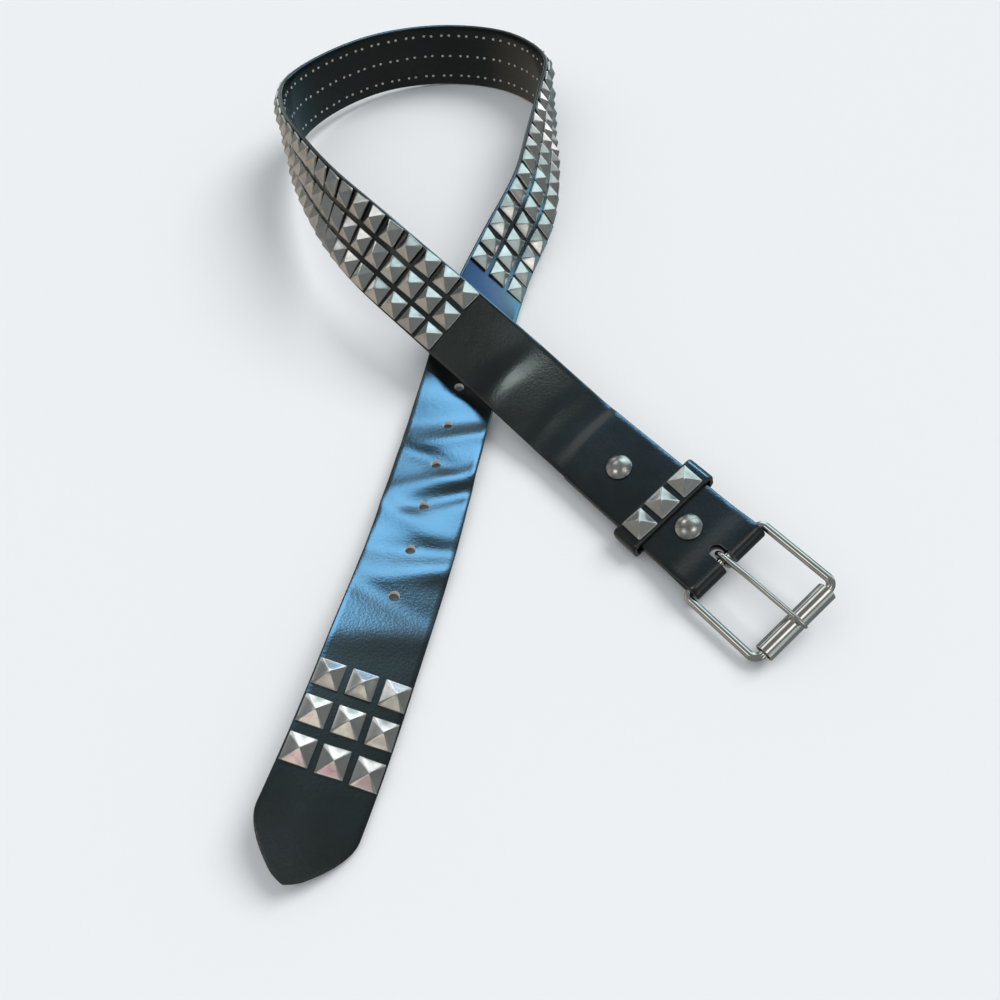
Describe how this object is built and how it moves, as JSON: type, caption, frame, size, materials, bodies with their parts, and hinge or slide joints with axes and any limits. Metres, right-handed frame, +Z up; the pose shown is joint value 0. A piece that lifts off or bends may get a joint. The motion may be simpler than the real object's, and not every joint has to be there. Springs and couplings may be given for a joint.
{
  "type": "studded belt",
  "caption": "Black leather belt with rows of pyramid studs and a roller buckle, lying in an open loop with its ends crossed.",
  "frame": {"origin": "on the floor under the middle of the whole belt", "axes": "+Z up, +Y from the pointed tip towards the loop's far side, +X to the right, towards the buckle"},
  "size_m": [0.2382, 0.5306, 0.0583],
  "materials": {
    "leather_black": "satin black",
    "stud_metal": "polished pewter",
    "snap_metal": "mottled antique silver",
    "buckle_nickel": "polished nickel"
  },
  "bodies": {
    "belt": {"keeper": "leather_black", "keeper_stud_1": "stud_metal", "keeper_stud_2": "stud_metal", "keeper_stud_3": "stud_metal", "snap_1": "snap_metal", "snap_2": "snap_metal", "strap": "leather_black", "tail_stud_1_1": "stud_metal", "tail_stud_1_2": "stud_metal", "tail_stud_1_3": "stud_metal", "tail_stud_2_1": "stud_metal", "tail_stud_2_2": "stud_metal", "tail_stud_2_3": "stud_metal", "tail_stud_3_1": "stud_metal", "tail_stud_3_2": "stud_metal", "tail_stud_3_3": "stud_metal", "stud_field": "stud_metal"},
    "frame": {"buckle_frame": "buckle_nickel"},
    "prong": {"buckle_prong": "buckle_nickel"},
    "roller": {"buckle_roller": "buckle_nickel"}
  },
  "joints": [
    {"name": "frame_hinge", "type": "hinge", "parent": "belt", "child": "frame", "pos_m": [0.08153, -0.16113, 0.01096], "axis": [-0.7928, -0.5348, -0.2924], "range_deg": [-40, 45]},
    {"name": "prong_hinge", "type": "hinge", "parent": "frame", "child": "prong", "pos_m": [0.08153, -0.16113, 0.01096], "axis": [-0.7928, -0.5348, -0.2924], "range_deg": [0, 60]},
    {"name": "roller_spin", "type": "hinge", "parent": "frame", "child": "roller", "pos_m": [0.10182, -0.19086, 0.01033], "axis": [0.7928, 0.5348, 0.2924], "continuous": true}
  ]
}
